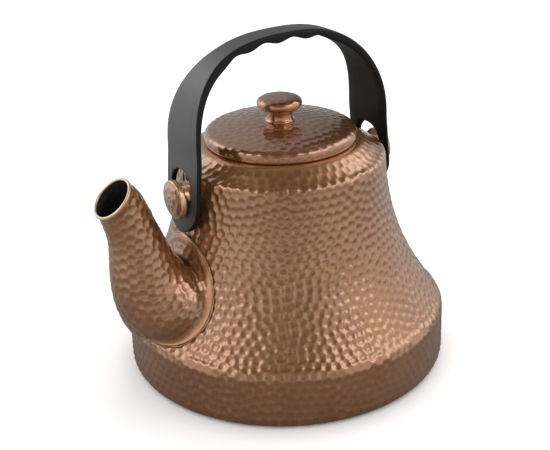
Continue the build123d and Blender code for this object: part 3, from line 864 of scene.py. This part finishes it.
def make_spout():
    """The spout: hammered tube, smooth flared flange and black bore. Returns its smooth surface."""
    around = 200
    rows = 150
    surface = spout_grid(around, root_rows=60, tube_rows=120)
    smooth = np.stack([respace(surface[:, column], rows) for column in range(around)], axis=1)
    from_seam = np.linalg.norm(smooth - smooth[:1], axis=2).mean(axis=1)
    to_mouth = np.linalg.norm(smooth - smooth[-1:], axis=2).mean(axis=1)
    share = smoothstep(from_seam, *SEAM_FADE) * smoothstep(to_mouth, *MOUTH_FADE)
    centres = lay_dimples(smooth[8 : rows - 4 : 3, ::4], DIMPLE_PITCH, rounds=30)
    normals = grid_normals(smooth)
    middle = smooth[rows // 2]
    outward = 1.0 if (normals[rows // 2] * (middle - middle.mean(axis=0))).sum() > 0 else -1.0
    outer, hollow = hammer(smooth, centres, DIMPLE_PITCH, SPOUT_DIMPLE_DEPTH, share, outward)
    steps = np.linalg.norm(np.diff(smooth, axis=0), axis=2)
    along = np.concatenate([np.zeros((1, around)), np.cumsum(steps, axis=0)])
    wall = SPOUT_WALL * (ROOT_WALL_SHARE + (1 - ROOT_WALL_SHARE) * smoothstep(along, *WALL_FADE))
    bore = (outer - outward * normals * wall[:, :, None])[::-1]
    seam, seam_normal = seam_curve(np.linspace(0, 2 * np.pi, around, endpoint=False))
    edge = (seam - EDGE_SINK * seam_normal)[None]
    grid = np.concatenate([edge, outer, bore])
    depths = np.concatenate([np.zeros((1, around)), hollow, np.zeros((rows, around))])
    piece = grid_piece("spout_hammered", grid, body_copper, depths, closed_rows=True, flip=outward < 0)
    set_material(piece, lining_black, (1 + rows) * around, len(grid) * around)
    settle(piece, "kettle_body", "spout")
    return smooth


def tube_along(points, radius, sides):
    """Return a grid of a round bar along a closed run of points, with one radius or many."""
    ahead = unit(np.roll(points, -1, axis=0) - np.roll(points, 1, axis=0))
    out = points - points.mean(axis=0)
    out = unit(out - (out * ahead).sum(axis=1, keepdims=True) * ahead)
    side = np.cross(ahead, out)
    turn = np.linspace(0, 2 * np.pi, sides, endpoint=False)
    reach = np.cos(turn)[None, :, None] * out[:, None, :] + np.sin(turn)[None, :, None] * side[:, None, :]
    return points[:, None, :] + reach * np.reshape(radius, (-1, 1, 1))


def make_lip(spout_surface):
    """The rounded rim at the spout's mouth, just inside the last ring of its surface."""
    ring = spout_surface[-1]
    mouth = np.array([-math.cos(MOUTH_TILT), 0, math.sin(MOUTH_TILT)])
    middle = ring + unit(ring.mean(axis=0) - ring) * SPOUT_WALL / 2 - LIP_SETBACK * mouth
    grid = tube_along(middle, LIP_RADIUS, sides=16)
    piece = grid_piece("spout_lip_rim", grid, rim_copper, closed_rows=True)
    settle(piece, "kettle_body", "spout_lip_bead")


def make_seam():
    """The uneven line of solder where the spout's flange meets the body."""
    count = 420
    angles = np.linspace(0, 2 * np.pi, count, endpoint=False)
    wobble = np.zeros(count)
    for waves in SEAM_WAVES:
        wobble += math.sqrt(SEAM_WAVES[0] / waves) * np.sin(waves * angles + 2 * np.pi * rng.random())
    path, normal = seam_curve(angles, SEAM_GROW)
    shifted, _ = seam_curve(angles, SEAM_GROW + 1)
    path = path + (shifted - path) * (SEAM_WOBBLE * wobble)[:, None] + SEAM_LIFT * normal
    radius = BEAD_RADIUS + BEAD_SWELL * np.roll(wobble, 11)
    grid = tube_along(path, np.clip(radius, *BEAD_LIMITS), sides=10)
    piece = grid_piece("spout_seam_bead", grid, seam_solder, closed_rows=True)
    settle(piece, "kettle_body", "spout_solder_seam")


# ---- studs ----
FACE_EDGE_FADE = (-0.2, 0.3)
FACE_CENTRE_FADE = (0.3, 1.2)


def make_stud(side):
    """A mushroom-headed stud with a hammered face, at side -1 (spout) or 1."""
    back = STUD_FRONT - STUD_HEAD_THICKNESS
    rim = back + STUD_HEAD_RIM
    neck_start = (STUD_NECK_RADIUS, STUD_NECK_START)
    neck_end = (STUD_NECK_RADIUS, back - STUD_BACK_CONE[1])
    back_edge = (STUD_RADIUS - STUD_BACK_CONE[0], back)
    edge_start = (STUD_RADIUS, back + STUD_BACK_ROUNDING)
    edge_end = (STUD_RADIUS, rim - STUD_RIM_ROUNDING)
    face_edge = (STUD_RADIUS - STUD_RIM_ROUNDING, rim)
    outline = join(
        [(AXIS_GAP, STUD_SHANK_END), (SHANK_HOLE_RADIUS, STUD_SHANK_END)],
        [(SHANK_HOLE_RADIUS, STUD_SHANK_END), (SHANK_HOLE_RADIUS, STUD_NECK_START), neck_start],
        [neck_start, neck_end, back_edge],
        bezier([back_edge, (STUD_RADIUS, back + STUD_BACK_CONE[1]), edge_start], 8),
        [edge_start, edge_end],
        bezier([edge_end, (STUD_RADIUS, rim - STUD_RIM_CREASE), face_edge], 10),
        bezier([face_edge, (STUD_RADIUS - STUD_FACE_PULL, STUD_FRONT), (AXIS_GAP, STUD_FRONT)], 30),
    )
    profile = resample(outline, step=0.35)
    grid = lathe_along_x(profile, 140, STUD_Z)
    share = smoothstep(profile[:, 1], *FACE_EDGE_FADE, start=rim)
    share *= smoothstep(profile[:, 0], *FACE_CENTRE_FADE)
    zone = grid[np.where(profile[:, 1] > rim)[0][0] :: 2, ::4]
    centres = lay_dimples(zone, STUD_DIMPLE_PITCH, rounds=20)
    grid, hollow = hammer(grid, centres, STUD_DIMPLE_PITCH, STUD_DIMPLE_DEPTH, share)
    grid[:, :, 0] *= side
    name = "rear" if side > 0 else "front"
    piece = grid_piece(name + "_stud_turned", grid, stud_copper, hollow, caps=True, flip=side < 0)
    settle(piece, "kettle_body", name + "_stud")


# ---- handle ----
LEG_END_STEPS = 22
LEG_STEPS = 16
ARCH_STEPS = 161
# Places across the strap's outer face, in parts of its half width without the chamfer.
FACE_PLACES = (0, 0.35, 0.7, 0.9, 1.0)
# The chamfer's points: how far in from the side and how deep, in parts of the chamfer.
CHAMFER_PLACES = ((0.75, 0.06), (0.15, 0.35), (0.0, 0.6))


def arch_point(angle, half_span, rise):
    """Return a point of the superellipse arch: angle 0 at +X, pi at -X."""
    across = abs(math.cos(angle)) ** (2 / HANDLE_CURVE) * (1 if math.cos(angle) >= 0 else -1)
    up = max(math.sin(angle), 0.0) ** (2 / HANDLE_CURVE)
    return np.array([half_span * across, HANDLE_SPRING_Z + rise * up])


def grip_thickness(x):
    """Return the grip's thickness at x, thinner in each finger hollow."""
    reach = (x - HOLLOW_CENTRE_X) / (HOLLOW_COUNT * HOLLOW_PITCH / 2)
    if abs(reach) >= 1:
        return GRIP_THICKNESS + HOLLOW_DEPTH
    return GRIP_THICKNESS + HOLLOW_DEPTH * math.cos(reach * HOLLOW_COUNT * math.pi)


def strap_half_width(z):
    """Return half the strap's width at a height, rounded off at the legs' ends."""
    end_centre = HANDLE_BOTTOM + LEG_HALF_WIDTH
    if z < end_centre:
        return math.sqrt(max(LEG_HALF_WIDTH**2 - (end_centre - z) ** 2, 0.0))
    taper = bezier(
        [
            (HANDLE_SPRING_Z, LEG_HALF_WIDTH),
            (HANDLE_SPRING_Z + TAPER_BOTTOM_PULL, LEG_HALF_WIDTH),
            (TAPER_TOP - TAPER_TOP_PULL, GRIP_HALF_WIDTH + TAPER_TOP_FLARE),
            (TAPER_TOP, GRIP_HALF_WIDTH),
        ],
        60,
    )
    return float(np.interp(z, taper[:, 0], taper[:, 1]))


def strap_stations():
    """Return the strap's stations as outer and inner (x, z) points, from +X to -X."""
    end_depths = LEG_HALF_WIDTH * (1 - np.cos(np.linspace(0.05, math.pi / 2, LEG_END_STEPS)))
    leg_start = HANDLE_BOTTOM + LEG_HALF_WIDTH + 1.5
    leg_heights = list(HANDLE_BOTTOM + end_depths)
    leg_heights += list(np.linspace(leg_start, HANDLE_SPRING_Z - 1, LEG_STEPS))
    leg = []
    for z in leg_heights:
        outer_x = HANDLE_HALF_SPAN + HANDLE_SPLAY * (HANDLE_SPRING_Z - z)
        leg.append((np.array([outer_x, z]), np.array([outer_x - LEG_THICKNESS, z])))
    stations = list(leg)
    for step in range(ARCH_STEPS):
        angle = math.pi * (step + 0.25) / (ARCH_STEPS + 0.5)
        outer = arch_point(angle, HANDLE_HALF_SPAN, HANDLE_TOP - HANDLE_SPRING_Z)
        rise = HANDLE_TOP - HANDLE_SPRING_Z - grip_thickness(outer[0])
        stations.append((outer, arch_point(angle, HANDLE_HALF_SPAN - LEG_THICKNESS, rise)))
    for outer, inner in reversed(leg):
        stations.append((outer * [-1, 1], inner * [-1, 1]))
    return stations


def strap_section(half_width, thickness):
    """Return the strap's section as (y, depth): crowned outside, chamfered edges."""
    chamfer = min(STRAP_CHAMFER, half_width / 4)
    crown = STRAP_CROWN * half_width**2
    y = np.array(FACE_PLACES) * (half_width - chamfer)
    outer = np.stack([y, crown * (y / half_width) ** 2], axis=1)
    low = outer[-1, 1]
    edge = [(half_width - across * chamfer, low + depth * chamfer) for across, depth in CHAMFER_PLACES]
    edge += [
        (half_width, thickness - STRAP_INNER_ROUNDING),
        (half_width - 0.25, thickness - 0.25),
        (half_width - STRAP_INNER_ROUNDING, thickness),
    ]
    edge = np.array(edge)
    edge[:, 0] = np.maximum(edge[:, 0], AXIS_GAP)
    inner = np.array([(0.6 * half_width, thickness), (0, thickness)])
    right = np.vstack([outer, edge, inner])
    left = right[1:-1][::-1] * [-1, 1]
    return np.vstack([right, left])


def make_handle():
    """The moulded strap handle, with its hook-on openings and neck seats cut."""
    rings = []
    for outer, inner in strap_stations():
        half_width = strap_half_width(outer[1])
        depth = inner - outer
        thickness = np.linalg.norm(depth)
        section = strap_section(max(half_width, 0.6), thickness)
        place = outer + section[:, 1:] * (depth / thickness)
        rings.append(np.stack([place[:, 0], section[:, 0], place[:, 1]], axis=1))
    piece = grid_piece("handle_strap", np.array(rings), handle_painted_shade, caps=True)
    piece.data.materials.append(handle_outer)
    around = len(section)
    # Only the outer face keeps the plain plastic; the chamfers, sides and inner face keep the painted-shade
    # copy.
    side_face = 4
    strap_faces = (len(rings) - 1) * around
    for polygon in list(piece.data.polygons)[:strap_faces]:
        column = polygon.index % around
        if column < side_face or column >= around - side_face:
            polygon.material_index = 1
    openings = []
    seat_radius = STUD_NECK_RADIUS + NECK_SEAT_CLEARANCE
    for side in (-1, 1):
        openings.append(drill(side, HOOK_HOLE_REACH, HOOK_HOLE_RADIUS, HOOK_HOLE_Z, handle_painted_shade))
        openings.append(drill(side, HOOK_HOLE_REACH, seat_radius, STUD_Z, handle_painted_shade))
    cut(piece, openings)
    settle(piece, "carry_handle", "handle")


# ---- carried-over nodes ----
NODE_MATERIALS = (
    (base_copper, ("base_plate",)),
    (plain_solder, ("base_solder_bead",)),
    (inner_copper, ("neck_collar", "lid_skirt")),
    (fastener_steel, ("knob_washer", "knob_screw", "front_stud_nut", "rear_stud_nut")),
    (stud_copper, ("front_stud_boss", "rear_stud_boss")),
    (washer_rubber, ("front_stud_washer", "rear_stud_washer")),
)


def dress_nodes():
    """Give each carried-over node its material."""
    for material, nodes in NODE_MATERIALS:
        for node in nodes:
            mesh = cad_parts[node].data
            mesh.materials.clear()
            mesh.materials.append(material)


# ---- floor, light and camera ----
CAMERA_DISTANCE = 0.62
CAMERA_HEIGHT = 0.363
CAMERA_AZIMUTH = math.radians(-32.68)
CAMERA_HEADING = math.radians(-32.23)
CAMERA_PITCH = math.radians(24.475)
CAMERA_ROLL = math.radians(-1.98)
CAMERA_LENS = 75.1
FLOOR_HALF_SIZE = 6.0 / MM
FLOOR_DROP = 0.05
FLOOR_NEAR = 0.12
FLOOR_FAR = 0.75
KETTLE_MIDDLE = Vector((0, 0, 0.08))


def make_camera():
    """The camera, looking down on the kettle from the spout's side."""
    data = bpy.data.cameras.new("camera")
    data.lens = CAMERA_LENS
    data.sensor_width = 36.0
    camera = bpy.data.objects.new("camera", data)
    bpy.context.collection.objects.link(camera)
    camera.location = (
        CAMERA_DISTANCE * math.sin(CAMERA_AZIMUTH),
        -CAMERA_DISTANCE * math.cos(CAMERA_AZIMUTH),
        CAMERA_HEIGHT,
    )
    turn = Matrix.Rotation(CAMERA_HEADING, 3, "Z")
    tilt = Matrix.Rotation(math.pi / 2 - CAMERA_PITCH, 3, "X")
    roll = Matrix.Rotation(CAMERA_ROLL, 3, "Z")
    camera.rotation_euler = (turn @ tilt @ roll).to_euler()
    bpy.context.scene.camera = camera


def make_floor():
    """A large pale floor, which the kettle reflects darker than it looks, most of all near by."""
    material, tree, shader = new_material("floor_pale")
    tone = ramp(tree, noise(tree, scale=3, detail=2.0), [(0.0, grey(0.93)), (1.0, grey(0.96))])
    glossy = add_node(tree, "LightPath", "Is Glossy Ray", {})
    place = add_node(tree, "NewGeometry", "Position", {})
    spread = add_node(tree, "VectorMath", "Value", {0: place}, operation="LENGTH")
    reflected = step_between(tree, spread, FLOOR_NEAR, FLOOR_FAR, before=0.20, after=0.62)
    tone = mix_colour(tree, glossy, tone, reflected)
    fill(tree, shader, {"Base Color": tone, "Roughness": 0.6, "Specular IOR Level": 0.1})
    corners = []
    for x, y in ((-1, -1), (1, -1), (1, 1), (-1, 1)):
        corners.append((x * FLOOR_HALF_SIZE, y * FLOOR_HALF_SIZE, -FLOOR_DROP))
    add_mesh("floor", corners, [(0, 1, 2, 3)], material)


def direction(azimuth, elevation):
    """Return a unit direction from the kettle, azimuth 0 at the camera, positive to its right."""
    turn = CAMERA_AZIMUTH + math.radians(azimuth)
    rise = math.radians(elevation)
    return Vector((math.sin(turn) * math.cos(rise), -math.cos(turn) * math.cos(rise), math.sin(rise)))


# Each round window: azimuth and elevation, the angles from its middle between which it fades,
# all in degrees, and its brightness.
WINDOWS = [
    (-66, 40, 6, 20, 1.9),
    (64, 42, 6, 20, 2.1),
    (118, 34, 8, 24, 1.5),
    (-120, 30, 8, 24, 1.2),
    (-150, 40, 10, 45, 0.35),
]
AMBIENT = 1.28
SOFTBOX_DIRECTION = (150, 70)
SOFTBOX_DISTANCE = 1.4
SOFTBOX_SIZE = 0.8
SOFTBOX_POWER = 3.0


def make_softbox():
    """A rectangular light above and behind the kettle, which isn't reflected in it."""
    data = bpy.data.lights.new("top_softbox", "AREA")
    data.shape = "RECTANGLE"
    data.size = SOFTBOX_SIZE
    data.size_y = SOFTBOX_SIZE
    data.energy = SOFTBOX_POWER
    lamp = bpy.data.objects.new("top_softbox", data)
    bpy.context.collection.objects.link(lamp)
    away = direction(*SOFTBOX_DIRECTION)
    lamp.location = KETTLE_MIDDLE + away * SOFTBOX_DISTANCE
    lamp.rotation_euler = away.to_track_quat("Z", "Y").to_euler()
    lamp.visible_glossy = False


def facing(tree, source, axis):
    """Return the dot product of a direction socket with a fixed direction."""
    return add_node(tree, "VectorMath", "Value", {0: source, 1: axis}, operation="DOT_PRODUCT")


def calculate(tree, operation, *sources):
    """Combine one or two values. Returns the output."""
    return add_node(tree, "Math", "Value", dict(enumerate(sources)), operation=operation)


def step_between(tree, source, start, end, before, after):
    """Turn a value smoothly from before at start to after at end. Returns the output."""
    inputs = {"Value": source, "From Min": start, "From Max": end, "To Min": before, "To Max": after}
    return add_node(tree, "MapRange", "Result", inputs, interpolation_type="SMOOTHSTEP")


def make_light():
    """White ambient light, in a room that reflects dark ahead and bright at its sides."""
    world = bpy.data.worlds.new("studio")
    bpy.context.scene.world = world
    world.use_nodes = True
    tree = world.node_tree
    toward = add_node(tree, "TexCoord", "Generated", {})
    lateral = calculate(tree, "ABSOLUTE", facing(tree, toward, direction(90, 0)))
    height = facing(tree, toward, (0, 0, 1))
    backward = facing(tree, toward, direction(180, 0))
    ahead = step_between(tree, height, start=0.02, end=0.42, before=0.52, after=0.25)
    sides = step_between(tree, lateral, start=0.22, end=0.62, before=0.0, after=0.62)
    walls = calculate(tree, "ADD", ahead, sides)
    ceiling = step_between(tree, height, start=0.66, end=0.9, before=1.0, after=0.42)
    behind = step_between(tree, backward, start=0.3, end=0.8, before=1.0, after=0.6)
    room = calculate(tree, "MULTIPLY", calculate(tree, "MULTIPLY", walls, ceiling), behind)
    for azimuth, elevation, inner, outer, brightness in WINDOWS:
        near = facing(tree, toward, direction(azimuth, elevation))
        start = math.cos(math.radians(outer))
        end = math.cos(math.radians(inner))
        glow = step_between(tree, near, start, end, before=0.0, after=brightness)
        room = calculate(tree, "ADD", room, glow)
    glossy = add_node(tree, "LightPath", "Is Glossy Ray", {})
    mixed = mix_colour(tree, glossy, (*grey(AMBIENT), 1), room)
    fill(tree, tree.nodes["Background"], {"Color": mixed, "Strength": 1.0})
    make_softbox()
    bpy.context.scene.view_settings.view_transform = "Standard"


make_body()
make_lid()
make_knob()
make_lip(make_spout())
make_seam()
make_stud(-1)
make_stud(1)
make_handle()
dress_nodes()
make_camera()
make_floor()
make_light()
